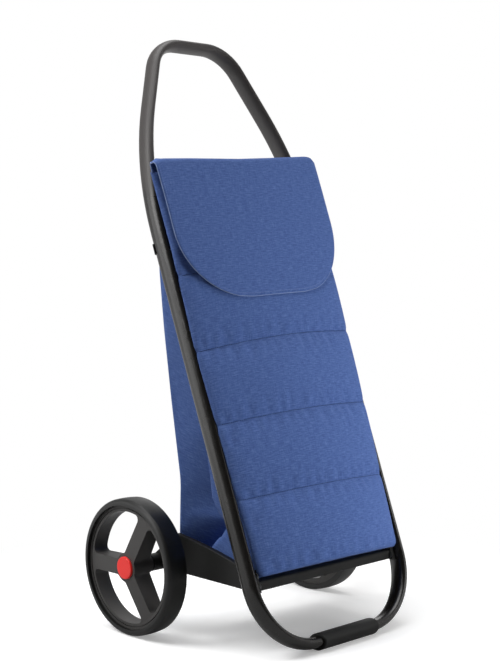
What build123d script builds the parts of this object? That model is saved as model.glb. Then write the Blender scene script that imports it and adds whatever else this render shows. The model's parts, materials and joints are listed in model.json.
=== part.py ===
"""Two-wheeled shopping trolley.

A leaning loop of oval tube is the frame, foot and handle in one. A base of two
arms and a tray carries the axle, two three-spoke wheels and the foot of a
fabric bag, which hangs from a bar at its top, has a padded front and is closed
by a lift-up flap. Millimetres, +Z up, front towards -Y, axle along X.
"""

import math
import os

from build123d import *

# Frame loop: centre line in the leaning plane, from the foot bar up
lean = 21.0
tube_width = 18.0
tube_depth = 32.0
tube_wall = 1.6
foot_half = 168.0
frame_splay = 6.0
bend_rise = 8.0
handle_half = 77.0
handle_rise = 224.0
foot_radius = 104.0
bend_radius = 538.0
handle_radius = 69.0
joint_gap = 1.0
joiner_half = 42.0
wheelbase = 265.0

# Foot sleeve
sleeve_wall = 4.4
sleeve_inset = 2.0
sleeve_pad = 1.2
sleeve_round = 1.8

# Wheels and axle
wheel_diameter = 220.0
tyre_width = 36.0
tyre_depth = 10.4
tyre_shoulder = 7.0
tyre_crown = 1.0
bead_width = 12.0
bead_depth = 3.0
wheel_clear = 31.2
rim_recess = 6.0
rim_ring = 10.0
rim_groove = 1.6
spoke_count = 3
spoke_width = 26.0
spoke_turn = -2.5
spoke_wall = 4.5
spoke_web = 6.0
opening_round = 8.0
hub_margin = 10.0
hub_proud = 5.0
hub_inboard = 11.0
cap_diameter = 36.0
cap_height = 3.6
cap_round = 1.6
cap_skirt = 5.0
cap_wall = 2.0
pocket_diameter = 27.0
pocket_depth = 13.0
hub_neck = 30.0
hub_play = 1.0
axle_diameter = 10.0
bush_diameter = 14.0
bush_length = 10.0
bush_flange = 20.0
bush_flange_thick = 1.5
clip_diameter = 21.0
clip_thick = 1.5
washer_thick = 1.2
axle_tail = 2.0
axle_chamfer = 1.0

# Base: two arms and the tray between them
base_drop = 9.0
arm_thick = 8.0
arm_boss = 14.0
arm_peak_ahead = 45.0
arm_peak_rise = 53.0
arm_nose_rise = 18.0
arm_belly = 4.0
arm_peak_round = 10.0
arm_nose = 4.0
arm_heel_turn = 50.0
arm_edge = 1.5
tray_floor = 4.0
tray_lift = 1.0
tray_flange = 4.0
tray_flange_height = 30.0
tray_lip = 16.0
tray_slots = 7
tray_slot_width = 12.0
tray_slot_margin = 24.0
beam_height = 15.0
beam_depth = 20.0
beam_round = 4.0
beam_setback = 36.0

# Upper crossbar, hooks and the bar that the bag hangs from
hanger_height = 782.0
hanger_forward = 30.0
hanger_diameter = 8.0
hanger_half = 168.0
crossbar_drop = 57.0
crossbar_setback = 4.0
crossbar_diameter = 16.0
crossbar_wall = 1.4
socket_wall = 3.0
socket_length = 16.0
socket_floor = 4.0
hook_place = 100.0
hook_width = 14.0
hook_ring = 4.0
hook_arm = 8.0
hook_cup = 4.0
hook_mouth = 6.4
side_clip_drop = 131.0
side_clip_tall = 16.0
side_clip_thick = 2.2
side_clip_wrap = 11.0
side_clip_leg = 6.0

# Bag
fabric = 2.0
bag_clear = 1.0
mouth_gap = 4.0
bag_foot_depth = 40.0
bag_heel_height = 262.0
bag_back_bulge = -50.0
bag_back_drop = 137.0
neck_drop = 16.0
board_thick = 3.0
board_clear = 1.0
panel_lift = 4.4
panel_rise = 1.0
panel_pitch = 118.5
panel_channels = 4
panel_half_bottom = 160.0
panel_half_top = 177.0
panel_widest = 480.0
panel_clear = 1.0
panel_rim = 5.0
panel_hollow = 16.0
panel_thick = 15.0
panel_puff = 4.0
panel_corner = 8.0

# Flap
flap_thick = 2.4
flap_length = 233.0
flap_half = 183.0
flap_half_bottom = 180.0
flap_corner = 120.0
flap_fold = 8.0
notch_clear = 2.0

# Fasteners
frame_screw = 6.0
frame_screw_length = 15.0
frame_screw_low = 8.0
frame_screw_high = 22.0
tray_screw = 4.0
tray_screw_length = 10.0
tray_screw_drop = 9.0
tray_screw_shares = (0.25, 0.55, 0.85)
sleeve_screw = 4.0
sleeve_screw_grip = 8.0

# Fits
seat = 0.05
running = 0.06
slack = 0.3
cloth_gap = 0.6

# Worked-out sizes
up = math.cos(math.radians(lean))
back = math.sin(math.radians(lean))
tube_a = tube_width / 2
tube_b = tube_depth / 2
sleeve_a = tube_a + sleeve_wall
sleeve_b = tube_b + sleeve_wall
sleeve_half = foot_half - foot_radius - sleeve_inset
bend_half = foot_half + frame_splay
bend_height = hanger_height + bend_rise
handle_height = bend_height + handle_rise
wheel_radius = wheel_diameter / 2
foot_z = math.hypot(sleeve_a * up, sleeve_b * back) - sleeve_pad
front_reach = math.hypot(sleeve_a * back, sleeve_b * up)
handle_reach = handle_height * back + math.hypot(tube_a * back, tube_b * up)
foot_y = (front_reach - max(handle_reach, wheelbase + wheel_radius)) / 2
axle_y = foot_y + wheelbase
axle_z = wheel_radius
base_height = axle_z - base_drop
crossbar_height = hanger_height - crossbar_drop
side_clip_height = hanger_height - side_clip_drop
flap_bottom = hanger_height - flap_length


def slope_point(along, forward):
    """World (y, z) of a point up the slope and ahead of the frame's plane."""
    y = foot_y + along * back - forward * up
    z = foot_z + along * up + forward * back
    return y, z


def on_slope(y, z):
    """Distance up the slope and ahead of the frame's plane of a world point."""
    along = (y - foot_y) * back + (z - foot_z) * up
    forward = (z - foot_z) * back - (y - foot_y) * up
    return along, forward


def along_at(height, forward):
    """Distance up the slope at which a point this far ahead has this height."""
    return (height - foot_z - forward * back) / up


def tube_place(along):
    """Half-distance between the side tubes' centre lines up the slope."""
    low = Vector(bend_half - foot_half, bend_height).normalized()
    high = Vector(handle_half - bend_half, handle_height - bend_height).normalized()
    turn = math.radians(low.get_angle(high))
    tangent = bend_radius * math.tan(turn / 2)
    start = Vector(bend_half, bend_height) - low * tangent
    end = Vector(bend_half, bend_height) + high * tangent
    if along <= start.Y:
        return foot_half + low.X / low.Y * along
    if along >= end.Y:
        return handle_half + high.X / high.Y * (along - handle_height)
    centre = start + Vector(-low.Y, low.X) * bend_radius
    return centre.X + math.sqrt(bend_radius**2 - (along - centre.Y) ** 2)


def crown_radius(half, rise):
    """Radius of an arc that rises this much over this half-width."""
    return (half**2 + rise**2) / (2 * rise)


foot_point = (0, foot_y, foot_z)
slope_up = (0, back, up)
slope_front = (0, -up, back)
frame_plane = Plane(origin=foot_point, x_dir=(1, 0, 0), z_dir=slope_front)
side_plane = Plane(origin=foot_point, x_dir=slope_up, z_dir=(1, 0, 0))
axle_line = Axis((0, axle_y, axle_z), (1, 0, 0))
wheel_section = Plane(origin=(0, axle_y, axle_z), x_dir=(1, 0, 0), z_dir=(0, -1, 0))


def wheel_face(place):
    """Plane across the axle at this x, with Y and Z as its directions."""
    return Plane(origin=(place, axle_y, axle_z), x_dir=(0, 1, 0), z_dir=(1, 0, 0))


def loop_part(grow, wall):
    """Sweep the oval section round the loop, grown by a fit and hollowed."""
    corners = [
        (joint_gap / 2, 0),
        (foot_half, 0),
        (bend_half, bend_height),
        (handle_half, handle_height),
        (-handle_half, handle_height),
        (-bend_half, bend_height),
        (-foot_half, 0),
        (-joint_gap / 2, 0),
    ]
    radii = [foot_radius, bend_radius, handle_radius]
    with BuildPart() as loop:
        with BuildLine(frame_plane) as centre_line:
            FilletPolyline(*corners, radius=radii + radii[::-1])
        start = centre_line.line @ 0
        with BuildSketch(Plane(origin=start, x_dir=slope_up, z_dir=(1, 0, 0))):
            Ellipse(tube_a + grow, tube_b + grow)
            if wall:
                Ellipse(tube_a - wall, tube_b - wall, mode=Mode.SUBTRACT)
        sweep(path=centre_line.line)
    return loop.part


def sunk_screws(places, diameter, length):
    """Countersunk screws, each with its head flush with its plane."""
    head = diameter / 2
    with BuildPart() as screws:
        with Locations(*places):
            Cylinder(diameter / 2, length, align=(Align.CENTER, Align.CENTER, Align.MAX))
            Cone(diameter / 2, diameter / 2 + head, head, align=(Align.CENTER, Align.CENTER, Align.MAX))
    return screws.part


def write(part, name):
    """Label a finished piece and write it as its own file."""
    part.label = name
    export_step(part, "parts/" + name + ".step")


os.makedirs("parts", exist_ok=True)
tube_room = loop_part(seat, 0)

# Stations across the axle, from the middle out
arm_outer = tube_place(along_at(base_height + beam_height / 2, 0)) - tube_a
arm_inner = arm_outer - arm_thick
tyre_inner = arm_outer + wheel_clear
tyre_outer = tyre_inner + tyre_width
rim_outer = tyre_outer - rim_recess
rim_inner = tyre_inner + rim_recess / 2
hub_outer = rim_outer + hub_proud
hub_inner = tyre_inner - hub_inboard
boss_outer = hub_inner - bush_flange_thick - slack - washer_thick
pocket_floor = hub_outer - pocket_depth
clip_inner = pocket_floor + bush_flange_thick + slack
axle_end = clip_inner + clip_thick + axle_tail
rim_radius = wheel_radius - tyre_depth
ring_inside = rim_radius - rim_ring

# Screw places: arms to the tubes, tray to the arms
arm_screw_rows = [along_at(base_height + rise, 0) for rise in (frame_screw_low, frame_screw_high)]
tray_length = wheelbase - beam_setback - bag_foot_depth
tray_front = foot_y + beam_setback
tray_rear = tray_front + tray_length + tray_flange
tray_screw_rows = [tray_front + tray_length * part for part in tray_screw_shares]
tray_screw_height = base_height + tray_lift + tray_flange_height - tray_screw_drop


def screw_places(side, along_x, points):
    """Planes with their outward side towards the middle of the trolley."""
    return [Plane(origin=(side * along_x, y, z), z_dir=(-side, 0, 0)) for y, z in points]


def frame_screw_places(side):
    """Two places on an arm's inner face, one above the other on its tube."""
    return screw_places(side, arm_inner, [slope_point(row, 0) for row in arm_screw_rows])


def tray_screw_places(side):
    """Three places along the inside of a tray flange."""
    inside = arm_inner - slack - tray_flange
    return screw_places(side, inside, [(row, tray_screw_height) for row in tray_screw_rows])


frame_places = frame_screw_places(-1) + frame_screw_places(1)
tray_places = tray_screw_places(-1) + tray_screw_places(1)
frame_screw_room = sunk_screws(frame_places, frame_screw + 2 * seat, frame_screw_length)
tray_screw_room = sunk_screws(tray_places, tray_screw + 2 * seat, tray_screw_length)
sleeve_places = [
    Plane(origin=(place, *slope_point(0, -sleeve_b)), z_dir=(0, up, -back))
    for place in (-joiner_half / 2, joiner_half / 2)
]
sleeve_screw_length = sleeve_wall + tube_wall + sleeve_screw_grip
sleeve_screw_room = sunk_screws(sleeve_places, sleeve_screw + 2 * seat, sleeve_screw_length)

# Frame loop, its inner joiner and the foot sleeve
with BuildPart() as frame_tube:
    add(loop_part(0, tube_wall))
    add(frame_screw_room, mode=Mode.SUBTRACT)
    add(sleeve_screw_room, mode=Mode.SUBTRACT)
write(frame_tube.part, "frame_tube")

with BuildPart() as tube_joiner:
    with BuildSketch(side_plane):
        Ellipse(tube_a - tube_wall - seat, tube_b - tube_wall - seat)
    extrude(amount=joiner_half, both=True)
    add(sleeve_screw_room, mode=Mode.SUBTRACT)
write(tube_joiner.part, "tube_joiner")

with BuildPart() as foot_sleeve:
    with BuildSketch(side_plane):
        Ellipse(sleeve_a, sleeve_b)
    extrude(amount=sleeve_half, both=True)
    fillet(foot_sleeve.edges(), sleeve_round)
    add(sleeve_screw_room, mode=Mode.SUBTRACT)
    with BuildSketch(side_plane):
        Ellipse(tube_a + seat, tube_b + seat)
    extrude(amount=sleeve_half + 1, both=True, mode=Mode.SUBTRACT)
    split(bisect_by=Plane.XY, keep=Keep.TOP)
write(foot_sleeve.part, "foot_sleeve")
write(sunk_screws(sleeve_places, sleeve_screw, sleeve_screw_length), "sleeve_screws")

# Upper crossbar in two sockets on the tubes' inner faces
socket_tube = tube_place(crossbar_height)
socket_inner = socket_tube - tube_a - socket_length
crossbar_end = socket_inner + socket_length - socket_floor
crossbar_spot = (crossbar_height, -crossbar_setback)

with BuildPart() as upper_crossbar:
    with BuildSketch(side_plane):
        with Locations(crossbar_spot):
            Circle(crossbar_diameter / 2)
            Circle(crossbar_diameter / 2 - crossbar_wall, mode=Mode.SUBTRACT)
    extrude(amount=crossbar_end, both=True)
write(upper_crossbar.part, "upper_crossbar")

with BuildPart() as left_crossbar_socket:
    with BuildSketch(side_plane.offset(-socket_tube)):
        with Locations(crossbar_spot):
            Circle(crossbar_diameter / 2 + socket_wall)
    extrude(amount=socket_tube - socket_inner)
    with BuildSketch(side_plane.offset(-crossbar_end)):
        with Locations(crossbar_spot):
            Circle(crossbar_diameter / 2 + seat)
    extrude(amount=socket_length, mode=Mode.SUBTRACT)
    add(tube_room, mode=Mode.SUBTRACT)
write(left_crossbar_socket.part, "left_crossbar_socket")

with BuildPart() as right_crossbar_socket:
    add(left_crossbar_socket.part)
    mirror(about=Plane.YZ, mode=Mode.REPLACE)
write(right_crossbar_socket.part, "right_crossbar_socket")

# Hooks: a ring on the crossbar, a neck behind the bag and an open cup for the bar
hanger_spot = (hanger_height, hanger_forward)
cup_radius = hanger_diameter / 2 + hook_cup
ring_radius = crossbar_diameter / 2 + hook_ring
hook_front = -crossbar_setback + hook_arm
with BuildPart() as right_bag_hook:
    with BuildSketch(side_plane.offset(hook_place - hook_width / 2)):
        with Locations(crossbar_spot):
            Circle(ring_radius)
        with Locations(hanger_spot):
            Circle(cup_radius)
        with Locations((hanger_height, hook_front)):
            Rectangle(
                hanger_height - crossbar_height,
                hook_arm,
                align=(Align.MAX, Align.MAX),
            )
        with Locations((hanger_height, hook_front - hook_arm)):
            Rectangle(
                cup_radius,
                hanger_forward - hook_front + hook_arm,
                align=(Align.MAX, Align.MIN),
            )
        with Locations(crossbar_spot):
            Circle(crossbar_diameter / 2 + seat, mode=Mode.SUBTRACT)
        with Locations(hanger_spot):
            Circle(hanger_diameter / 2 + seat, mode=Mode.SUBTRACT)
            Rectangle(
                cup_radius + 1,
                hook_mouth,
                align=(Align.MIN, Align.CENTER),
                mode=Mode.SUBTRACT,
            )
    extrude(amount=hook_width)
write(right_bag_hook.part, "right_bag_hook")

with BuildPart() as left_bag_hook:
    add(right_bag_hook.part)
    mirror(about=Plane.YZ, mode=Mode.REPLACE)
write(left_bag_hook.part, "left_bag_hook")

with BuildPart() as hanger_bar:
    with BuildSketch(side_plane):
        with Locations(hanger_spot):
            Circle(hanger_diameter / 2)
    extrude(amount=hanger_half, both=True)
write(hanger_bar.part, "hanger_bar")

# Clips behind the side tubes: a short leg outside and a long leg inside
clip_tube = tube_place(side_clip_height)
clip_base = slope_point(side_clip_height - side_clip_tall / 2, 0)
with BuildPart() as right_bag_clip:
    with BuildSketch(Plane(origin=(clip_tube, *clip_base), x_dir=(1, 0, 0), z_dir=slope_up)):
        Ellipse(tube_a + side_clip_thick, tube_b + side_clip_thick)
        with Locations((0, side_clip_wrap)):
            Rectangle(2 * tube_depth, 2 * tube_depth, align=(Align.MIN, Align.MAX), mode=Mode.SUBTRACT)
        with Locations((0, -side_clip_leg)):
            Rectangle(2 * tube_depth, 2 * tube_depth, align=(Align.MAX, Align.MAX), mode=Mode.SUBTRACT)
    extrude(amount=side_clip_tall)
    add(tube_room, mode=Mode.SUBTRACT)
write(right_bag_clip.part, "right_bag_clip")

with BuildPart() as left_bag_clip:
    add(right_bag_clip.part)
    mirror(about=Plane.YZ, mode=Mode.REPLACE)
write(left_bag_clip.part, "left_bag_clip")

# Arms: a tall cheek beside the bag that falls to the tube ahead and the axle behind
nose_low = slope_point(along_at(base_height, arm_nose), arm_nose)
nose_high = slope_point(along_at(axle_z + arm_nose_rise, arm_nose), arm_nose)
peak = (axle_y - arm_peak_ahead, axle_z + arm_peak_rise)
brow = (
    (nose_high[0] + peak[0]) / 2,
    (nose_high[1] + peak[1]) / 2 + arm_belly,
)
heel_turn = math.radians(arm_heel_turn)
heel = (axle_y + arm_boss * math.cos(heel_turn), axle_z + arm_boss * math.sin(heel_turn))
with BuildPart() as right_arm:
    with BuildSketch(Plane.YZ.offset(arm_inner)):
        with BuildLine():
            Line(nose_low, nose_high)
            ThreePointArc(nose_high, brow, peak)
            Polyline(peak, heel, (axle_y, base_height), nose_low)
        make_face()
        with Locations((axle_y, axle_z)):
            Circle(arm_boss)
    extrude(amount=arm_thick)
    fillet(right_arm.edges().filter_by(Axis.X).sort_by_distance((arm_inner, *peak))[0], arm_peak_round)
    fillet(right_arm.faces().sort_by(Axis.X)[-1].edges(), arm_edge)
    with BuildSketch(Plane.YZ.offset(arm_outer)):
        with Locations((axle_y, axle_z)):
            Circle(arm_boss)
    extrude(amount=boss_outer - arm_outer)
    with Locations(Plane(origin=(boss_outer, axle_y, axle_z), z_dir=(1, 0, 0))):
        Hole(axle_diameter / 2 + seat)
    add(tube_room, mode=Mode.SUBTRACT)
    add(frame_screw_room, mode=Mode.SUBTRACT)
    add(tray_screw_room, mode=Mode.SUBTRACT)
write(right_arm.part, "right_arm")

with BuildPart() as left_arm:
    add(right_arm.part)
    mirror(about=Plane.YZ, mode=Mode.REPLACE)
write(left_arm.part, "left_arm")

write(sunk_screws(frame_places, frame_screw, frame_screw_length), "frame_screws")

# Tray: front beam, slotted floor, side flanges and a rear lip
tray_half = arm_inner - slack
tray_base = base_height + tray_lift
tray_top = tray_base + tray_floor
tray_middle = (tray_front + tray_rear) / 2
slot_length = tray_length - beam_depth - tray_slot_margin
flange_front = tray_front + beam_depth / 2
slot_step = 2 * (tray_half - tray_flange) / (tray_slots + 0.5)
with BuildPart() as base_tray:
    with BuildSketch(Plane.XY.offset(tray_base)):
        with Locations((0, tray_middle)):
            Rectangle(2 * tray_half, tray_rear - tray_front)
    extrude(amount=tray_floor)
    with BuildSketch(Plane.YZ):
        with Locations((tray_front, tray_base)):
            RectangleRounded(
                beam_depth,
                beam_height,
                beam_round,
                align=(Align.MIN, Align.MIN),
            )
    extrude(amount=tray_half, both=True)
    with BuildSketch(Plane.XY.offset(tray_base)):
        with Locations((0, tray_rear)):
            Rectangle(2 * tray_half, tray_flange, align=(Align.CENTER, Align.MAX))
    extrude(amount=tray_lip)
    with BuildSketch(Plane.XY.offset(tray_base)):
        with Locations((tray_half, flange_front), (-tray_half + tray_flange, flange_front)):
            Rectangle(
                tray_flange,
                tray_rear - flange_front,
                align=(Align.MAX, Align.MIN),
            )
    extrude(amount=tray_flange_height)
    with BuildSketch(Plane.XY.offset(tray_base)):
        with Locations((0, tray_middle + beam_depth / 2)):
            with GridLocations(slot_step, 1, tray_slots, 1):
                SlotOverall(slot_length, tray_slot_width, rotation=90)
    extrude(amount=tray_floor, mode=Mode.SUBTRACT)
    add(tray_screw_room, mode=Mode.SUBTRACT)
write(base_tray.part, "base_tray")
write(sunk_screws(tray_places, tray_screw, tray_screw_length), "tray_screws")

# Axle with its washers and push-on clips
with BuildPart() as axle:
    with BuildSketch(wheel_face(0)):
        Circle(axle_diameter / 2)
    extrude(amount=axle_end, both=True)
    chamfer(axle.edges().filter_by(GeomType.CIRCLE), axle_chamfer)
write(axle.part, "axle")


def axle_rings(inner_face, outside, thick):
    """A pair of flat rings on the axle, one at each end."""
    with BuildPart() as rings:
        with BuildSketch(wheel_face(inner_face)):
            Circle(outside / 2)
            Circle(axle_diameter / 2 + seat, mode=Mode.SUBTRACT)
        extrude(amount=thick)
        mirror(about=Plane.YZ)
    return rings.part


write(axle_rings(boss_outer, bush_flange, washer_thick), "axle_washers")
write(axle_rings(clip_inner, clip_diameter, clip_thick), "axle_clips")

# Wheel: tyre with a bead in the rim's channel
bead_middle = (rim_outer + rim_inner) / 2
with BuildPart() as right_tyre:
    with BuildSketch(wheel_section):
        with BuildLine():
            tread = ThreePointArc(
                (tyre_inner, wheel_radius - tyre_crown),
                (tyre_outer - tyre_width / 2, wheel_radius),
                (tyre_outer, wheel_radius - tyre_crown),
            )
            Polyline(tread @ 1, (tyre_outer, rim_radius), (tyre_inner, rim_radius), tread @ 0)
        make_face()
        with Locations((bead_middle, rim_radius)):
            Rectangle(bead_width, bead_depth, align=(Align.CENTER, Align.MAX))
    revolve(axis=axle_line)
    shoulders = right_tyre.edges().filter_by(GeomType.CIRCLE).sort_by(SortBy.RADIUS)[-2:]
    fillet(shoulders, tyre_shoulder)
write(right_tyre.part, "right_tyre")

# Rim: ring, dished three-spoke web and hub
hub_radius = spoke_width / 2 + hub_margin
with BuildPart() as right_rim:
    with BuildSketch(wheel_face(rim_inner)) as web:
        Circle(rim_radius - seat)
        Circle(ring_inside, mode=Mode.SUBTRACT)
        with PolarLocations(0, spoke_count, start_angle=spoke_turn):
            Rectangle(ring_inside + 1, spoke_width, align=(Align.MIN, Align.CENTER))
        Circle(hub_radius)
        corners = web.vertices().filter_by(lambda v: math.hypot(v.X, v.Y) < ring_inside + 1)
        fillet(corners, opening_round)
    extrude(amount=hub_outer - rim_inner)
    with BuildSketch(wheel_section):
        Polygon(
            (hub_outer, hub_radius),
            (rim_outer, ring_inside),
            (rim_outer, rim_radius + 1),
            (hub_outer + 1, rim_radius + 1),
            (hub_outer + 1, hub_radius),
            align=None,
        )
        with Locations((rim_outer, rim_radius - rim_ring / 2)):
            Rectangle(2 * rim_groove, rim_groove)
        with Locations((bead_middle, rim_radius + 1)):
            Rectangle(
                bead_width + 2 * seat,
                bead_depth + seat + 1,
                align=(Align.CENTER, Align.MAX),
            )
    revolve(axis=axle_line, mode=Mode.SUBTRACT)
    with BuildSketch(wheel_face(rim_inner)):
        with PolarLocations(hub_radius, spoke_count, start_angle=spoke_turn):
            Rectangle(
                ring_inside - hub_radius,
                spoke_width - 2 * spoke_wall,
                align=(Align.MIN, Align.CENTER),
            )
    extrude(amount=rim_outer - rim_inner - spoke_web, mode=Mode.SUBTRACT)
    with BuildSketch(wheel_face(hub_inner)):
        Circle(hub_neck / 2)
    extrude(amount=rim_inner - hub_inner)
    with BuildSketch(wheel_face(hub_inner)):
        Circle(axle_diameter / 2 + hub_play)
    extrude(amount=hub_outer - hub_inner, mode=Mode.SUBTRACT)
    with BuildSketch(wheel_face(hub_inner)):
        Circle(bush_diameter / 2 + seat)
    extrude(amount=bush_length + seat, mode=Mode.SUBTRACT)
    with BuildSketch(wheel_face(pocket_floor)):
        Circle(bush_diameter / 2 + seat)
    extrude(amount=-bush_length - seat, mode=Mode.SUBTRACT)
    with BuildSketch(wheel_face(pocket_floor)):
        Circle(pocket_diameter / 2)
    extrude(amount=pocket_depth, mode=Mode.SUBTRACT)
write(right_rim.part, "right_rim")

# Two flanged bushes in the hub, and the cap that snaps into its outer pocket
with BuildPart() as right_bushes:
    for seat_face, inward in ((pocket_floor, -1), (hub_inner, 1)):
        with BuildSketch(wheel_face(seat_face)):
            Circle(bush_diameter / 2)
            Circle(axle_diameter / 2 + running, mode=Mode.SUBTRACT)
        extrude(amount=inward * bush_length)
        with BuildSketch(wheel_face(seat_face)):
            Circle(bush_flange / 2)
            Circle(axle_diameter / 2 + running, mode=Mode.SUBTRACT)
        extrude(amount=-inward * bush_flange_thick)
write(right_bushes.part, "right_bushes")

with BuildPart() as right_hub_cap:
    with BuildSketch(wheel_face(hub_outer)):
        Circle(cap_diameter / 2)
    extrude(amount=cap_height)
    fillet(right_hub_cap.edges().sort_by(Axis.X)[-1], cap_round)
    with BuildSketch(wheel_face(hub_outer)):
        Circle(pocket_diameter / 2 - seat)
        Circle(pocket_diameter / 2 - seat - cap_wall, mode=Mode.SUBTRACT)
    extrude(amount=-cap_skirt)
write(right_hub_cap.part, "right_hub_cap")


def write_left(right, name):
    """Mirror a right-hand piece to the left side and write it."""
    with BuildPart() as left:
        add(right)
        mirror(about=Plane.YZ, mode=Mode.REPLACE)
    write(left.part, name)


write_left(right_tyre.part, "left_tyre")
write_left(right_rim.part, "left_rim")
write_left(right_bushes.part, "left_bushes")
write_left(right_hub_cap.part, "left_hub_cap")

# Padded front: channels across a crown that is drawn in at both sides
bag_top = hanger_height - cup_radius - mouth_gap
panel_top = bag_top + panel_rise
panel_bottom = along_at(tray_base + beam_height, 0) + panel_lift
panel_back_edge = tube_b + panel_clear
panel_back_crown = panel_back_edge + panel_hollow
panel_edge = panel_back_edge + panel_rim
panel_crown = panel_back_crown + panel_thick
front_radius = crown_radius(panel_half_top, panel_crown - panel_edge)
back_radius = crown_radius(panel_half_top, panel_back_crown - panel_back_edge)
back_axis = panel_back_crown - back_radius
seam_level = panel_crown - panel_puff
seams = [panel_bottom + panel_pitch * row for row in range(panel_channels + 1)] + [panel_top]
back_plane = Plane(origin=(0, *slope_point(0, back_axis)), x_dir=(1, 0, 0), z_dir=slope_up)
with BuildPart() as front_panel:
    with BuildSketch(side_plane):
        with BuildLine():
            for low, high in zip(seams, seams[1:]):
                ThreePointArc((low, seam_level), ((low + high) / 2, panel_crown), (high, seam_level))
            Polyline((seams[-1], seam_level), (seams[-1], 0), (seams[0], 0), (seams[0], seam_level))
        make_face()
    crown_line = Axis((0, *slope_point(0, panel_crown - front_radius)), slope_up)
    revolve(axis=crown_line, revolution_arc=math.degrees(1.1 * panel_half_top / front_radius))
    mirror(about=Plane.YZ)
    with BuildSketch(frame_plane) as outline:
        Polygon(
            (-panel_half_bottom, panel_bottom),
            (panel_half_bottom, panel_bottom),
            (panel_half_top, panel_widest),
            (panel_half_top, panel_top),
            (-panel_half_top, panel_top),
            (-panel_half_top, panel_widest),
            align=None,
        )
        fillet(outline.vertices().group_by(Axis.Y)[0], panel_corner)
    extrude(amount=2 * panel_crown, both=True, mode=Mode.INTERSECT)
    with BuildSketch(back_plane):
        Circle(back_radius)
    extrude(amount=2 * panel_top, mode=Mode.SUBTRACT)
write(front_panel.part, "front_panel")

# Bag: lining behind the padded front, two sides, and a back that runs on as the base
bag_half = tray_half - tray_flange - bag_clear
lining_radius = back_radius - slack
with BuildPart() as bag_lining:
    with BuildSketch(back_plane.offset(panel_bottom)):
        Circle(lining_radius)
        Circle(lining_radius - fabric, mode=Mode.SUBTRACT)
    extrude(amount=bag_top - panel_bottom)
    with BuildSketch(frame_plane):
        Rectangle(2 * bag_half, 2 * panel_top)
    extrude(amount=2 * panel_crown, mode=Mode.INTERSECT)
write(bag_lining.part, "bag_lining")

side_front = back_axis + math.sqrt((lining_radius - fabric) ** 2 - bag_half**2) - seat
neck_front = -crossbar_setback + ring_radius + cloth_gap
bag_floor = tray_top + cloth_gap
bag_front = tray_front + beam_depth + cloth_gap
bag_rear = tray_rear - tray_flange - cloth_gap
bag_outline = [
    (panel_bottom, side_front),
    (bag_top, side_front),
    (bag_top, neck_front),
    (crossbar_height - ring_radius - neck_drop, neck_front),
    (hanger_height - bag_back_drop, bag_back_bulge),
    on_slope(bag_rear, bag_heel_height),
    on_slope(bag_rear, bag_floor),
    on_slope(bag_front, bag_floor),
    on_slope(bag_front, tray_base + beam_height + cloth_gap),
]
tab_reach = clip_tube - tube_a - side_clip_thick - seat
with BuildPart() as right_side:
    with BuildSketch(side_plane.offset(bag_half - fabric)):
        Polygon(*bag_outline, align=None)
    extrude(amount=fabric)
    with BuildSketch(side_plane.offset(bag_half)):
        with Locations((side_clip_height, -side_clip_leg / 2)):
            Rectangle(side_clip_tall, fabric)
    extrude(amount=tab_reach - bag_half)
write(right_side.part, "bag_right_side")
write_left(right_side.part, "bag_left_side")

with BuildSketch(side_plane) as bag_inside:
    Polygon(*bag_outline, align=None)
    offset(amount=-fabric, kind=Kind.INTERSECTION, mode=Mode.REPLACE)
with BuildPart() as bag_back:
    with BuildSketch(side_plane):
        Polygon(*bag_outline, align=None)
        add(bag_inside.sketch_local, mode=Mode.SUBTRACT)
        with Locations((panel_bottom - panel_edge, side_front + fabric)):
            Rectangle(2 * bag_top, 2 * fabric, align=(Align.MIN, Align.MAX), mode=Mode.SUBTRACT)
        with Locations((bag_top, neck_front + fabric)):
            Rectangle(2 * fabric, panel_crown, align=(Align.CENTER, Align.MIN), mode=Mode.SUBTRACT)
    extrude(amount=bag_half - fabric - seat, both=True)
write(bag_back.part, "bag_back")

with BuildPart() as bag_board:
    with BuildSketch(Plane.XY.offset(bag_floor + fabric + seat)):
        with Locations((0, (bag_front + bag_rear) / 2)):
            RectangleRounded(
                2 * (bag_half - fabric - board_clear),
                bag_rear - bag_front - 2 * (fabric + board_clear),
                panel_corner,
            )
    extrude(amount=board_thick)
write(bag_board.part, "bag_board")

# Flap: hem that turns on the bar, fold over the mouth and a sheet with round corners
hem_inside = hanger_diameter / 2 + running
hem_outside = hem_inside + flap_thick
sheet_inside = panel_crown + cloth_gap
fold_middle = (hanger_height + hem_inside - flap_fold, sheet_inside - flap_fold)
slant = math.sqrt(0.5)


def fold_point(radius, turn_s, turn_f):
    """A point on the fold's arc about its middle."""
    return fold_middle[0] + radius * turn_s, fold_middle[1] + radius * turn_f


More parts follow.
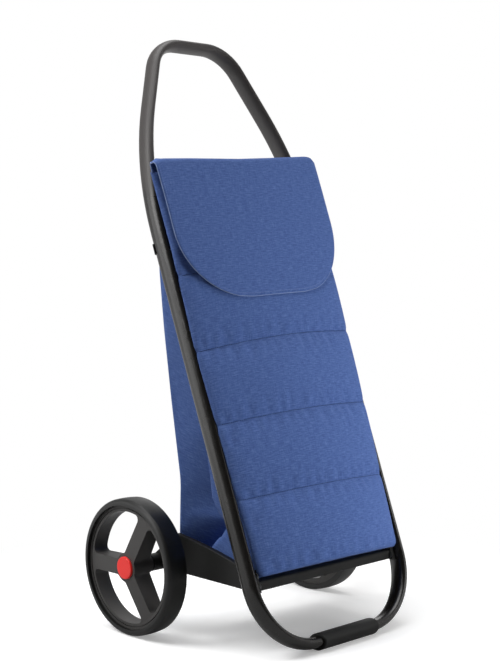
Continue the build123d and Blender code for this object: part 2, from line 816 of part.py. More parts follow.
with BuildPart() as flap:
    with BuildSketch(side_plane):
        with BuildLine():
            outer = flap_fold + flap_thick
            over = ThreePointArc(
                fold_point(outer, 0, 1),
                fold_point(outer, slant, slant),
                fold_point(outer, 1, 0),
            )
            under = ThreePointArc(
                fold_point(flap_fold, 1, 0),
                fold_point(flap_fold, slant, slant),
                fold_point(flap_fold, 0, 1),
            )
            Polyline(over @ 1, (hanger_height + hem_outside, hanger_forward))
            Polyline(
                (hanger_height + hem_outside, hanger_forward),
                (hanger_height + hem_inside, hanger_forward),
                under @ 0,
            )
            Polyline(
                under @ 1,
                (flap_bottom, sheet_inside),
                (flap_bottom, sheet_inside + flap_thick),
                over @ 0,
            )
        make_face()
        with Locations(hanger_spot):
            Circle(hem_outside)
            Circle(hem_inside, mode=Mode.SUBTRACT)
    extrude(amount=flap_half, both=True)
    with BuildSketch(frame_plane) as outline:
        Polygon(
            (-flap_half_bottom, flap_bottom),
            (flap_half_bottom, flap_bottom),
            (flap_half, hanger_height + 2 * hem_outside),
            (-flap_half, hanger_height + 2 * hem_outside),
            align=None,
        )
        fillet(outline.vertices().group_by(Axis.Y)[0], flap_corner)
    extrude(amount=2 * panel_crown, both=True, mode=Mode.INTERSECT)
    for place in (-hook_place, hook_place):
        with BuildSketch(side_plane.offset(place)):
            with Locations(hanger_spot):
                Circle(hem_outside + 2 * notch_clear)
        extrude(amount=hook_width / 2 + notch_clear, both=True, mode=Mode.SUBTRACT)
write(flap.part, "flap")
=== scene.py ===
"""Looks of a two-wheeled shopping trolley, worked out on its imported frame.

Metres, +Z up, the padded front towards -Y, the axle along X. Sizes are written
in millimetres and the soft pieces are laid out on the leaning frame's own
directions: across, along the slope from the foot bar, and ahead of the tubes.
"""

import json
import math

import bmesh
import bpy
import numpy as np
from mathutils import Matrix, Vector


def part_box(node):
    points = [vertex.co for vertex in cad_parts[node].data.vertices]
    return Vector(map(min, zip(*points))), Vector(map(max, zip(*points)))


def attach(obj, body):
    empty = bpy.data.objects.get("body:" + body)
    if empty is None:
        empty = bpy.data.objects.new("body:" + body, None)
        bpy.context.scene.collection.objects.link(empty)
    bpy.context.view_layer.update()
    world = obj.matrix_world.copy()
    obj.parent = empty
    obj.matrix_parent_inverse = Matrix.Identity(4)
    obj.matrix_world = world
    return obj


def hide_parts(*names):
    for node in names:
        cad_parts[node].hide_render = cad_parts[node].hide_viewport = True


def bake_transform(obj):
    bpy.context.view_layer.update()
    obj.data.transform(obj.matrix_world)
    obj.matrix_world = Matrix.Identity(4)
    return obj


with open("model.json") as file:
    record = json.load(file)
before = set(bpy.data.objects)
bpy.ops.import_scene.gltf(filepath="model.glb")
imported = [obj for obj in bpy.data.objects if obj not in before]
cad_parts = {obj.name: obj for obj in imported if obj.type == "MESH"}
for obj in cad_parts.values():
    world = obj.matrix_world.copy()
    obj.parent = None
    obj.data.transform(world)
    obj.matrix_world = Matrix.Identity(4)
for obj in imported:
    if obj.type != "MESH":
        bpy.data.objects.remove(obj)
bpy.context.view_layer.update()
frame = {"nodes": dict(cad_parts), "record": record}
scene = bpy.context.scene
MM = 0.001


def middle(node):
    """Centre of a frame node's box, in millimetres."""
    low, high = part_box(node)
    return (np.array(low) + np.array(high)) / 2 / MM


# The leaning frame: its foot bar's centre, its lean and the bar that the bag hangs from
LEAN = math.radians(21.0)
RISE = math.cos(LEAN)
SLOPE = math.sin(LEAN)
FOOT = middle("tube_joiner")
BAR = middle("hanger_bar") - FOOT
BAR_ALONG = BAR[1] * SLOPE + BAR[2] * RISE
BAR_AHEAD = BAR[2] * SLOPE - BAR[1] * RISE
AHEAD = np.array([0.0, -RISE, SLOPE])
ALONG = np.array([0.0, SLOPE, RISE])

# Padded front
SEAMS = np.array([115.5, 234.0, 352.5, 471.0, 589.5, 771.0])
SEAM_SHIFT = (-1.5, -0.2, 3.4, 6.8, 11.0, 0.0)
SEAM_RISE = (-0.006, 0.004, 0.026, 0.051, 0.045, 0.012)
SEAM_ARCH = (0.0, 0.5, 1.9, 4.2, 3.0, 0.0)
PANEL_HALF = ((115.5, 230.0, 480.0, 771.0), (157.5, 164.3, 176.5, 177.0))
PANEL_SET = ((150.0, 230.0, 310.0, 470.0, 560.0, 640.0, 771.0), (-7.5, -5.4, -2.4, 0.5, 3.5, 5.0, 2.5))
PANEL_CORNER = 9.0
PANEL_CROWN = 46.2
PANEL_RADIUS = 690.0
PANEL_BACK = 33.2
PANEL_BACK_RADIUS = 987.0
CHANNEL_SWELL = 2.6
SEAM_GROOVE = 3.0
SEAM_PULL = 1.8
PANEL_ROLL = 7.0
PANEL_TOP_ROLL = 5.0
PANEL_LEAST = 1.6

# Flap
FLAP_BOTTOM = 549.0
FLAP_HALF = ((549.0, 800.0), (180.0, 183.0))
FLAP_CORNER = 120.0
FLAP_AHEAD = 49.8
FLAP_FOLD = 9.2
FLAP_CLOTH = 1.7
FLAP_BOW = 13.0
FLAP_TURN = 0.044
FLAP_REAR = 9.5
FLAP_REAR_TURN = 11.0
FLAP_REAR_LOW = 764.0
FLAP_OVER = 5.3
FLAP_FRONT = 30.0
FLAP_PIVOT = 740.0
FLAP_HEM = 22.0
FLAP_LAND = (112.0, 134.0)
FLAP_TOP = ((-183.0, -175.0, -168.0, -160.0, -107.0, 0.0, 72.0, 137.0, 166.0, 178.0, 183.0),
            (-10.0, -6.8, -4.4, -3.6, -1.4, 1.4, 6.5, 12.3, 15.0, 14.8, 9.0))
BAR_WRAP = 5.15
BAR_HALF = 171.0
HOOKS = (-100.0, 100.0)
HOOK_NOTCH = 10.0
HOOK_REACH = 7.0
PIPING = 0.8
PIPING_ROW = 2
STITCH_INSET = 4.6
STITCH_ROW = 32
# Where the flap bends when it opens, above the bar and ahead: the hem behind stays, the hanging part goes along. Only
# the two ends of that line are worked out here; nothing bends the flap.
BEND_FROM = (0.0, 28.7)
BEND_TO = (-5.8, 44.7)

# Bag: height, then distance from front to back, of its front and back faces
BAG_HALF = 145.6
BAG_FLOOR = 107.4
BAG_MOUTH = 737.0
BAG_FRONT = ((BAG_FLOOR, 118.4, 129.0, BAG_MOUTH), (-122.0, -122.0, -156.5, 74.0))
BAG_BACK = ((BAG_FLOOR, 165.0, 246.0, 374.0, 486.0, 597.5, 664.0, BAG_MOUTH),
            (49.0, 49.0, 46.5, 69.0, 86.0, 99.0, 62.5, 88.4))
BAG_CORNER = 5.0
BAG_SAG = 5.0
BAG_CREASE = 1.6
BAG_BULGE = 11.0
# Fold in the bag's sides: height, then where its lip lies, how wide its wall is and how deep it goes
FOLD_LIP = ((107.0, 144.0, 190.0, 205.0, 225.0, 256.0, 318.0, 380.0, 520.0),
            (8.0, -22.9, -61.0, -43.0, -32.0, -27.4, -18.0, -4.0, 25.0))
FOLD_WALL = ((107.0, 190.0, 215.0, 256.0), (3.0, 3.0, 9.0, 14.0))
FOLD_DEEP = ((110.0, 140.0, 165.0, 200.0, 256.0, 318.0, 400.0, 480.0),
             (34.0, 52.0, 52.0, 43.0, 28.0, 15.0, 6.0, 0.0))
BAG_CLOTH = 1.4
TAB_BELOW_BAR = 131.0
TAB_AHEAD = -3.0
TAB_HALF = (7.6, 0.9)


def on_frame(across, along, ahead):
    """World points, in metres, of places given on the leaning frame."""
    across, along, ahead = np.broadcast_arrays(across, along, ahead)
    y = FOOT[1] + along * SLOPE - ahead * RISE
    z = FOOT[2] + along * RISE + ahead * SLOPE
    return np.stack([across, y, z], -1) * MM


def on_panel(across, along, ahead):
    """World points of places on the padded front, whose seams hang askew: each shifted, tilted and arched."""
    shift, rise, arch = (np.interp(along, SEAMS, size) for size in (SEAM_SHIFT, SEAM_RISE, SEAM_ARCH))
    flat = 1 - (across / np.interp(along, *PANEL_HALF)) ** 2
    return on_frame(across, along + shift + rise * across + arch * flat, ahead)


def smooth(value, low, high):
    """Ease from 0 below low to 1 above high along t*t*(3 - 2t)."""
    t = np.clip((value - low) / (high - low), 0, 1)
    return t * t * (3 - 2 * t)


def grid_faces(rows, columns, round_columns=False):
    """Corner numbers of a grid's four-sided faces; round columns join the last to the first."""
    r = np.arange(rows - 1)[:, None]
    c = np.arange(columns if round_columns else columns - 1)[None, :]
    n = (c + 1) % columns
    corners = [r * columns + c, r * columns + n, (r + 1) * columns + n, (r + 1) * columns + c]
    return np.stack(corners, -1).reshape(-1, 4)


def make_piece(name, points, faces, cloth=None, sewn=None):
    """A mesh piece from points in metres, with the cloth's own lengths as its UV map."""
    mesh = bpy.data.meshes.new(name)
    mesh.vertices.add(len(points))
    mesh.vertices.foreach_set("co", np.asarray(points, np.float32).ravel())
    mesh.loops.add(faces.size)
    mesh.loops.foreach_set("vertex_index", faces.ravel().astype(np.int32))
    mesh.polygons.add(len(faces))
    mesh.polygons.foreach_set("loop_start", np.arange(0, faces.size, 4, dtype=np.int32))
    mesh.update(calc_edges=True)
    if cloth is not None:
        layer = mesh.uv_layers.new(name="cloth")
        layer.uv.foreach_set("vector", cloth[faces.ravel()].astype(np.float32).ravel())
    if sewn is not None:
        held = mesh.attributes.new("sewn", "FLOAT", "POINT")
        held.data.foreach_set("value", sewn.astype(np.float32))
    piece = bpy.data.objects.new(name, mesh)
    scene.collection.objects.link(piece)
    return piece


def close_up(piece):
    """Merge doubled points at seams and poles, then turn every face outwards."""
    work = bmesh.new()
    work.from_mesh(piece.data)
    bmesh.ops.remove_doubles(work, verts=work.verts, dist=2e-6)
    bmesh.ops.dissolve_degenerate(work, edges=work.edges, dist=1e-7)
    bmesh.ops.recalc_face_normals(work, faces=work.faces)
    work.to_mesh(piece.data)
    work.free()
    return piece


def read_points(mesh):
    """A mesh's points as an array."""
    points = np.empty(len(mesh.vertices) * 3, np.float32)
    mesh.vertices.foreach_get("co", points)
    return points.reshape(-1, 3)


def swell(piece, push, reach):
    """Fill a sewn cover out: cloth held where it is sewn, pushed from inside by its filling.

    Twenty steps of cloth with no weight; then each point keeps its own move,
    shortened as reach * tanh(move / reach) so that none goes past reach.
    """
    start = read_points(piece.data)
    held = np.empty(len(start), np.float32)
    piece.data.attributes["sewn"].data.foreach_get("value", held)
    group = piece.vertex_groups.new(name="sewn")
    group.add(np.flatnonzero(held > 0.5).tolist(), 1.0, "REPLACE")
    cover = piece.modifiers.new("swell", "CLOTH")
    cover.settings.vertex_group_mass = "sewn"
    cover.settings.use_pressure = True
    cover.settings.uniform_pressure_force = push
    cover.settings.effector_weights.gravity = 0
    cover.settings.quality = 6
    cover.settings.mass = 0.25
    cover.settings.tension_stiffness = 18
    cover.settings.compression_stiffness = 12
    cover.settings.shear_stiffness = 8
    cover.settings.bending_stiffness = 0.6
    cover.settings.shrink_min = -0.012
    cover.collision_settings.use_collision = False
    cover.point_cache.frame_start = 1
    cover.point_cache.frame_end = 20
    for step in range(1, 21):
        scene.frame_set(step)
    filled = piece.evaluated_get(bpy.context.evaluated_depsgraph_get())
    move = read_points(filled.data) - start
    length = np.linalg.norm(move, axis=1, keepdims=True) + 1e-9
    move *= reach * np.tanh(length / reach) / length
    piece.modifiers.remove(cover)
    piece.vertex_groups.remove(group)
    scene.frame_set(1)
    piece.data.vertices.foreach_set("co", (start + move).ravel())
    piece.data.update()


def bead(name, path, radius, normal, sides=10):
    """A round bead along a path: a circle carried square to it, drawn to a point at both ends."""
    path = np.asarray(path)
    way = np.gradient(path, axis=0)
    way /= np.linalg.norm(way, axis=1, keepdims=True)
    side = np.cross(way, normal)
    side /= np.linalg.norm(side, axis=1, keepdims=True)
    lift = np.cross(side, way)
    path = np.concatenate([path[:1], path, path[-1:]])
    side = np.concatenate([side[:1], side, side[-1:]])
    lift = np.concatenate([lift[:1], lift, lift[-1:]])
    size = np.full(len(path), radius * MM)
    size[[0, -1]] = 0
    turn = np.linspace(0, 2 * np.pi, sides, endpoint=False)[None, :, None]
    ring = np.cos(turn) * side[:, None] + np.sin(turn) * lift[:, None]
    points = path[:, None] + size[:, None, None] * ring
    return close_up(make_piece(name, points.reshape(-1, 3), grid_faces(len(path), sides, True)))


def stitching(name, paths, pitch, length, thread):
    """Short rounded threads end to end along each path, each a six-sided capsule of five rings."""
    spots, ways = [], []
    for path in paths:
        reach = np.concatenate([[0], np.cumsum(np.linalg.norm(np.diff(path, axis=0), axis=1))])
        places = np.arange(pitch / 2 * MM, reach[-1] - pitch / 2 * MM, pitch * MM)
        at = np.stack([np.interp(places, reach, path[:, k]) for k in range(3)], -1)
        on = np.stack([np.interp(places + 1e-4, reach, path[:, k]) for k in range(3)], -1)
        spots.append(at)
        ways.append((on - at) / np.linalg.norm(on - at, axis=1, keepdims=True))
    at = np.concatenate(spots)
    way = np.concatenate(ways)
    side = np.cross(way, AHEAD)
    side /= np.linalg.norm(side, axis=1, keepdims=True)
    lift = np.cross(side, way)
    along = np.array([-0.5, -0.38, 0.0, 0.38, 0.5])[None, :, None, None] * length * MM
    size = np.array([0.0, 0.85, 1.0, 0.85, 0.0])[None, :, None, None] * thread / 2 * MM
    turn = np.linspace(0, 2 * np.pi, 6, endpoint=False)[None, None, :, None]
    ring = np.cos(turn) * side[:, None, None] + np.sin(turn) * lift[:, None, None]
    points = at[:, None, None] + along * way[:, None, None] + size * ring
    faces = grid_faces(5, 6, True)
    faces = (np.arange(len(at))[:, None, None] * 30 + faces[None]).reshape(-1, 4)
    return close_up(make_piece(name, points.reshape(-1, 3), faces))


def seam_distance(along):
    """Channel number and how far a place lies from the nearer of that channel's two seams."""
    row = np.clip(np.searchsorted(SEAMS, along, "right") - 1, 0, len(SEAMS) - 2)
    return row, np.minimum(along - SEAMS[row], SEAMS[row + 1] - along)


def panel_half(along):
    """Half-width of the padded front: round lower corners, drawn in as a Gaussian where each seam ends."""
    half = np.interp(along, *PANEL_HALF)
    rest = np.clip(PANEL_CORNER - (along - SEAMS[0]), 0, PANEL_CORNER)
    drawn = np.exp(-(((along[..., None] - SEAMS[1:-1]) / 6) ** 2)).sum(-1)
    return half - PANEL_CORNER + np.sqrt(PANEL_CORNER**2 - rest**2) - SEAM_PULL * drawn


def panel_set(across, along):
    """How far the padded front's sides lie ahead of its plain arc: behind it low down, between the tubes."""
    return np.interp(along, *PANEL_SET) * (across / np.interp(along, *PANEL_HALF)) ** 2


def panel_front(across, along):
    """How far the cover stands ahead: an arc across, domed between seams and grooved at each.

    The dome is 1 - |2t - 1|**2.2 over a channel, the groove 1 - exp(-d / 3.4) at
    d millimetres from a seam; puckers fade out along d * exp(-d / 7).
    """
    row, away = seam_distance(along)
    t = (along - SEAMS[row]) / (SEAMS[row + 1] - SEAMS[row])
    half = np.interp(along, *PANEL_HALF)
    inside = 1 - np.clip(np.abs(across / half), 0, 1) ** 6
    dome = 1 - np.abs(2 * t - 1) ** 2.2
    groove = 1 - np.exp(-away / 3.4)
    hollow = CHANNEL_SWELL * (1 - dome) + SEAM_GROOVE * (1 - groove)
    near_end = 0.3 + 0.9 * np.abs(across / half) ** 4
    pucker = near_end * away / 7 * np.exp(1 - away / 7) * inside
    ripple = np.sin(across / 4.3 + 2.1 * row + 1.6 * np.sin(across / 17 + row))
    ease = 0.7 * np.sin(across / 39 + 1.3 * row) * np.sin(np.pi * t) * inside
    arc = PANEL_CROWN - PANEL_RADIUS + np.sqrt(PANEL_RADIUS**2 - across**2)
    return arc + panel_set(across, along) - hollow * (0.6 + 0.4 * inside) + pucker * ripple + ease


def panel_rear(across, along):
    """The padded front's flat-lying back: one shallow arc."""
    arc = PANEL_BACK - PANEL_BACK_RADIUS + np.sqrt(PANEL_BACK_RADIUS**2 - across**2)
    return arc + panel_set(across, along)


def padded_front():
    """Closed pad: a flat back sheet and a front sheet rolled over to meet it on all four sides.

    Rows crowd towards the seams as a half cosine. The front sheet is the back
    plus the thickness times sqrt(1 - q*q), where q runs from 0 to 1 over the
    last few millimetres before an edge.
    """
    counts = np.round(np.diff(SEAMS) / 4.6).astype(int)
    steps = [low + (high - low) * (0.5 - 0.5 * np.cos(np.pi * np.arange(n) / n))
             for low, high, n in zip(SEAMS, SEAMS[1:], counts)]
    along = np.concatenate(steps + [SEAMS[-1:]])[:, None]
    share = np.concatenate([[0.9995, 0.997, 0.992, 0.984], np.linspace(0.972, 0, 43)])
    share = np.concatenate([-np.array([1.0]), -share, share[-2::-1], [1.0]])[None, :]
    across = share * panel_half(along)
    q = np.clip((np.abs(across) - panel_half(along) + PANEL_ROLL) / PANEL_ROLL, 0, 1)
    past = np.maximum(SEAMS[0] + PANEL_ROLL - along, along - SEAMS[-1] + PANEL_TOP_ROLL)
    ends = np.clip(past / np.where(along < 400, PANEL_ROLL, PANEL_TOP_ROLL), 0, 1)
    edge = np.sqrt(1 - q**2) * np.sqrt(1 - ends**2)
    front = panel_front(across, along)
    rear = panel_rear(across, along)
    sheet_front = on_panel(across, along, rear + np.maximum(front - rear, PANEL_LEAST) * edge)
    sheet_rear = on_panel(across, along, rear)
    loop = np.concatenate([sheet_front, sheet_rear[:, -2:0:-1]], 1)
    cloth = np.stack(np.broadcast_arrays(across, along), -1) * MM
    cloth = np.concatenate([cloth, cloth[:, -2:0:-1]], 1)
    near = np.abs(along - SEAMS[None, :]).min(1, keepdims=True)
    sewn = np.broadcast_to((near < 0.6) | (q > 0.2) | (ends > 0.2), across.shape)
    sewn = np.concatenate([sewn, np.ones_like(sewn[:, -2:0:-1])], 1)
    faces = grid_faces(loop.shape[0], loop.shape[1], True)
    piece = make_piece("padded_front", loop.reshape(-1, 3), faces, cloth.reshape(-1, 2), sewn.reshape(-1))
    close_up(piece)
    swell(piece, push=2.5, reach=0.0026)
    return piece


def panel_seams():
    """The sewn seams across the padded front, in the bottom of their grooves."""
    across = np.linspace(-1, 1, 160)[None, :] * (panel_half(SEAMS[1:-1, None]) - 5.0)
    along = np.broadcast_to(SEAMS[1:-1, None], across.shape)
    ahead = np.maximum(panel_front(across, along), panel_rear(across, along) + PANEL_LEAST) + 0.2
    return on_panel(across, along, ahead)


def flap_profile():
    """The flap's line from the bag's back over the bar, round its fold and down: along and ahead."""
    turn = np.linspace(0, np.pi / 2, 12)
    top = BAR_ALONG + FLAP_OVER
    fold = (top - FLAP_FOLD, FLAP_AHEAD - FLAP_FOLD)
    rear_turn = np.linspace(0, np.pi / 2, 8)
    rear = np.stack([top - FLAP_REAR_TURN + FLAP_REAR_TURN * np.sin(rear_turn),
                     FLAP_REAR + FLAP_REAR_TURN - FLAP_REAR_TURN * np.cos(rear_turn)], -1)
    low = np.stack([np.linspace(FLAP_REAR_LOW, top - (FLAP_REAR_TURN + 1), 6), np.full(6, FLAP_REAR)], -1)
    over = np.stack([np.full(10, top), np.linspace(FLAP_REAR + FLAP_REAR_TURN + 2, fold[1] - 1.5, 10)], -1)
    arc = np.stack([fold[0] + FLAP_FOLD * np.cos(turn), fold[1] + FLAP_FOLD * np.sin(turn)], -1)
    steps = FLAP_BOTTOM + (fold[0] - FLAP_BOTTOM) * (1 - np.linspace(0, 1, 52)[1:] ** 0.8)
    hang = np.stack([np.append(steps[:-1], FLAP_BOTTOM), np.full(51, FLAP_AHEAD)], -1)
    return np.concatenate([low, rear, over, arc, hang])


def flap_half(line):
    """Half-width down the flap: the padded front's at the rear, full at the fold, round at its lower corners."""
    along, ahead = line[:, 0], line[:, 1]
    half = np.interp(along, *FLAP_HALF)
    rest = np.clip(FLAP_CORNER - (along - FLAP_BOTTOM), 0, FLAP_CORNER)
    half = half - FLAP_CORNER + np.sqrt(FLAP_CORNER**2 - rest**2)
    behind = 1 - smooth(ahead, FLAP_REAR, FLAP_FRONT)
    return half - behind * (half - PANEL_HALF[1][-1] + 1.5)


def flap_grid():
    """Places of the flap's cloth, row by row from its rear hem over the fold to its lower edge.

    Its line is carried across and bowed back towards its sides as x squared.
    Behind the fold the middle goes over the bar to the bag's back, and the ends
    hang just behind the bar. The fold sits askew, lower at the left where the bar
    holds it, and the hanging part is turned a little in its own plane with it.
    """
    line = flap_profile()
    share = np.linspace(-1, 1, 93)[None, :]
    across = share * flap_half(line)[:, None]
    fold = FLAP_AHEAD - FLAP_FOLD
    land = smooth(np.abs(across), *FLAP_LAND) * (FLAP_HEM - FLAP_REAR)
    ahead = line[:, 1:] + np.clip((fold - line[:, 1:]) / (fold - FLAP_REAR), 0, 1) * land
    hang = smooth(line[:, 1], FLAP_FRONT, FLAP_AHEAD)[:, None]
    fall = smooth(-line[:, 0], -BAR_ALONG, -FLAP_BOTTOM)[:, None]
    bow = FLAP_BOW * (across / FLAP_HALF[1][-1]) ** 2 * (0.35 + 0.65 * fall) * hang
    wave = 0.8 * np.sin(across / 47 + 0.6) * np.sin(line[:, :1] / 53) * hang
    skew = np.interp(across, *FLAP_TOP)
    skew = skew + smooth(-line[:, :1], -BAR_ALONG + 12.0, -BAR_ALONG + 80.0) * (1.0 + FLAP_TURN * across - skew)
    along = line[:, :1] + smooth(ahead, 16.0, 36.0) * skew
    wrap = BAR_ALONG + np.sqrt(np.clip(BAR_WRAP**2 - (ahead - BAR_AHEAD) ** 2, 0, None))
    wrapped = (np.abs(across) < BAR_HALF) & (np.abs(ahead - BAR_AHEAD) < BAR_WRAP) & (line[:, :1] > BAR_ALONG)
    along = np.where(wrapped, np.maximum(along, wrap), along)
    across = across - hang * FLAP_TURN * (line[:, :1] - FLAP_PIVOT)
    return across, along, ahead - bow + wave, line


def flap_sheet():
    """One sheet of cloth from the bag's back over the bar and down the front, notched for the hooks."""
    across, along, ahead, line = flap_grid()
    points = on_frame(across, along, ahead)
    length = np.concatenate([[0], np.cumsum(np.linalg.norm(np.diff(line, axis=0), axis=1))])
    cloth = np.stack(np.broadcast_arrays(across, -length[:, None]), -1) * MM
    faces = grid_faces(*across.shape)
    spot = across.ravel()[faces].mean(1)
    depth = ahead.ravel()[faces].mean(1)
    notch = np.min([np.abs(spot - place) for place in HOOKS], axis=0) < HOOK_NOTCH
    faces = faces[~(notch & (depth < BAR_AHEAD + HOOK_REACH))]
    piece = make_piece("flap_cloth", points.reshape(-1, 3), faces, cloth.reshape(-1, 2))
    work = bmesh.new()
    work.from_mesh(piece.data)
    bmesh.ops.delete(work, geom=[v for v in work.verts if not v.link_faces], context="VERTS")
    bmesh.ops.recalc_face_normals(work, faces=work.faces)
    work.to_mesh(piece.data)
    work.free()
    body = piece.modifiers.new("cloth", "SOLIDIFY")
    body.thickness = FLAP_CLOTH * MM
    body.offset = 0
    return piece


def flap_rim(inset, first):
    """A line round the flap's free edge, this far inside it, and the cloth's outward direction along it.

    It starts at the given row on the left edge, follows the lower edge and ends
    at the same row on the right edge.
    """
    grid = np.stack(flap_grid()[:3], -1)
    line = flap_profile()
    way = np.gradient(line, axis=0)
    way /= np.linalg.norm(way, axis=1, keepdims=True)
    out = way[:, 1:] * ALONG - way[:, :1] * AHEAD
    base = grid[-1, 1:-1]
    rim = np.concatenate([grid[first:, 0], base, grid[first:, -1][::-1]])
    out = np.concatenate([out[first:], np.broadcast_to(AHEAD, base.shape), out[first:][::-1]])
    if inset:
        turn = np.gradient(rim[:, :2], axis=0)
        turn /= np.linalg.norm(turn, axis=1, keepdims=True)
        rim[:, :2] += inset * np.stack([-turn[:, 1], turn[:, 0]], -1)
    return rim, out


def bag_side_fold(depth, height, rear):
    """How far a side panel is drawn in: one fold that deepens towards the floor and eases out to the rear seam.

    Its lip is upright higher up and a sharp slanting crease at its foot; in
    front of the crease the cloth is a flat triangle that leans in upwards.
    """
    lip = np.interp(height, *FOLD_LIP)
    inside = smooth(depth - lip, -1, np.interp(height, *FOLD_WALL))
    ease = np.clip((rear - 4 - depth) / (rear - 18 - lip), 0, 1) ** 1.1
    fold = np.interp(height, *FOLD_DEEP) * inside * ease
    corner = 0.09 * np.clip(height - 120, 0, 60) * (1 - inside) * (1 - smooth(height, 180, 230))
    soft = 2.0 * np.sin(height / 61 + depth / 37) * smooth(height, 250, 340) * (1 - smooth(height, 560, 680))
    return fold + corner + soft


def bag_shell():
    """The bag's walls as one lofted cloth: a rounded ring at each height, from the floor to the mouth.

    A ring runs along the left side, across the back, along the right side and
    across the front; its corners are quarter circles. Sides are drawn in by
    bag_side_fold, the back sags outwards as a half sine between its seams.
    """
    height = np.concatenate([[BAG_FLOOR] * 2, np.linspace(BAG_FLOOR, 130, 10), np.linspace(135, BAG_MOUTH, 118)])
    shrink = np.ones(len(height))
    shrink[:2] = 0.0, 0.5
    fine = np.arange(60.0, 800.0, 2.0)
    front = np.interp(height, *BAG_FRONT)
    rear_line = np.interp(fine, *BAG_BACK)
    for width in (9, 7):
        pad = np.pad(rear_line, width, mode="edge")
        rear_line = np.convolve(pad, np.hanning(2 * width + 3)[1:-1] / (width + 1), "valid")
    rear = np.interp(height, fine, rear_line)
    corner = np.minimum(BAG_CORNER, (rear - front) / 3)
    front, rear, corner, up = (v[:, None] for v in (front, rear, corner, height))
    run = np.linspace(0, 1, 40)[None, :]
    arc = np.linspace(0, np.pi / 2, 8)[None, 1:-1]
    half = BAG_HALF
    lip = corner * 0.3
    side_depth = front + lip + (rear - corner - front - lip) * run
    wide = np.linspace(-1, 1, 66)[None, :]
    back_x = (half - corner) * wide
    front_x = (half - lip) * wide[:, ::-1]
    turn = np.cos(arc), np.sin(arc)
    across = np.concatenate([
        np.broadcast_to(-half, side_depth.shape), -half + corner - corner * turn[0],
        back_x, half - corner + corner * turn[1],
        np.broadcast_to(half, side_depth.shape), half - lip + lip * turn[0],
        front_x, -half + lip - lip * turn[1]], 1)
    depth = np.concatenate([
        side_depth, rear - corner + corner * turn[1],
        np.broadcast_to(rear, back_x.shape), rear - corner + corner * turn[0],
        side_depth[:, ::-1], front + lip - lip * turn[1],
        np.broadcast_to(front, front_x.shape), front + lip - lip * turn[0]], 1)
    up = np.broadcast_to(up, across.shape)
    around = np.concatenate([np.zeros((len(height), 1)), np.cumsum(np.hypot(np.diff(across), np.diff(depth)), 1)], 1)
    side = smooth(np.abs(across), half - 6, half - 1) * smooth(rear - depth, 0, 12) * smooth(depth - front, 2, 20)
    pull = bag_side_fold(depth, up, rear) * side * smooth(up, 112, 140)
    flat = np.clip(1 - (across / half) ** 2, 0, 1)
    at_back = smooth(depth, rear - 3, rear - 0.5)
    sag = BAG_SAG * np.sin(np.clip((up - 150) / 470, 0, 1) * np.pi) * flat * at_back
    creases = BAG_CREASE * np.sin(up / 15 + 0.8 * np.sin(across / 50))
    creases = creases * flat * at_back * np.exp(-(((up - 655) / 34) ** 2))
    at_front = smooth(front + 3 - depth, 0, 2.5) * smooth(up, 118, 150)
    slope = (up - FOOT[2]) / RISE
    bulge = (BAG_BULGE * flat + panel_set(across, slope)) * at_front
    x = across - np.sign(across) * pull
    y = depth + sag + creases - bulge * RISE
    z = up + bulge * SLOPE
    x = x * shrink[:, None]
    y = np.where(shrink[:, None] < 1, -40 + (y + 40) * shrink[:, None], y)
    points = np.stack([x, y, z], -1) * MM
    cloth = np.stack([around, up - 0.35 * np.abs(depth - front)], -1) * MM
    faces = grid_faces(points.shape[0], points.shape[1], True)
    piece = close_up(make_piece("bag_cloth", points.reshape(-1, 3), faces, cloth.reshape(-1, 2)))
    wall = piece.modifiers.new("cloth", "SOLIDIFY")
    wall.thickness = BAG_CLOTH * MM
    wall.offset = -1
    return piece


def side_tab(sign):
    """Webbing from the bag's side to the clip on the tube: a flat strap with round edges."""
    along = BAR_ALONG - TAB_BELOW_BAR
    turn = np.linspace(0, 2 * np.pi, 28, endpoint=False)
    tall = np.sign(np.cos(turn)) * np.abs(np.cos(turn)) ** 0.25 * TAB_HALF[0]
    deep = np.sign(np.sin(turn)) * np.abs(np.sin(turn)) ** 0.25 * TAB_HALF[1]
    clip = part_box("right_bag_clip")[0][0] / MM + 0.4
    reach = np.array([BAG_HALF - 3.0, BAG_HALF - 3.0, BAG_HALF, 150.0, 154.0, clip, clip])[:, None]
    scale = np.array([0, 1, 1, 1, 1, 1, 0])[:, None]
    points = on_frame(sign * reach, along + tall[None, :] * scale, TAB_AHEAD + deep[None, :] * scale)
    name = "right_tab" if sign > 0 else "left_tab"
    cloth = np.stack(np.broadcast_arrays(reach, along + tall[None, :]), -1) * MM
    return close_up(make_piece(name, points.reshape(-1, 3), grid_faces(7, 28, True), cloth.reshape(-1, 2)))


def linear(code):
    """An sRGB hex colour as linear light."""
    parts = np.array([int(code[k:k + 2], 16) for k in (1, 3, 5)]) / 255
    light = np.where(parts <= 0.04045, parts / 12.92, ((parts + 0.055) / 1.055) ** 2.4)
    return (*light.tolist(), 1.0)


def add(tree, kind, inputs=None, **settings):
    """Add a shader node with its settings, each input a value or another node's output."""
    made = tree.nodes.new(kind)
    for key, value in settings.items():
        setattr(made, key, value)
    for key, value in (inputs or {}).items():
        if isinstance(value, bpy.types.NodeSocket):
            tree.links.new(value, made.inputs[key])
        else:
            made.inputs[key].default_value = value
    return made


def start_material(name, constants):
    """A new material with its surface shader's own sockets set."""
    material = bpy.data.materials.new(name)
    material.use_nodes = True
    tree = material.node_tree
    shader = tree.nodes["Principled BSDF"]
    for key, value in constants.items():
        shader.inputs[key].default_value = value
    return material, tree, shader


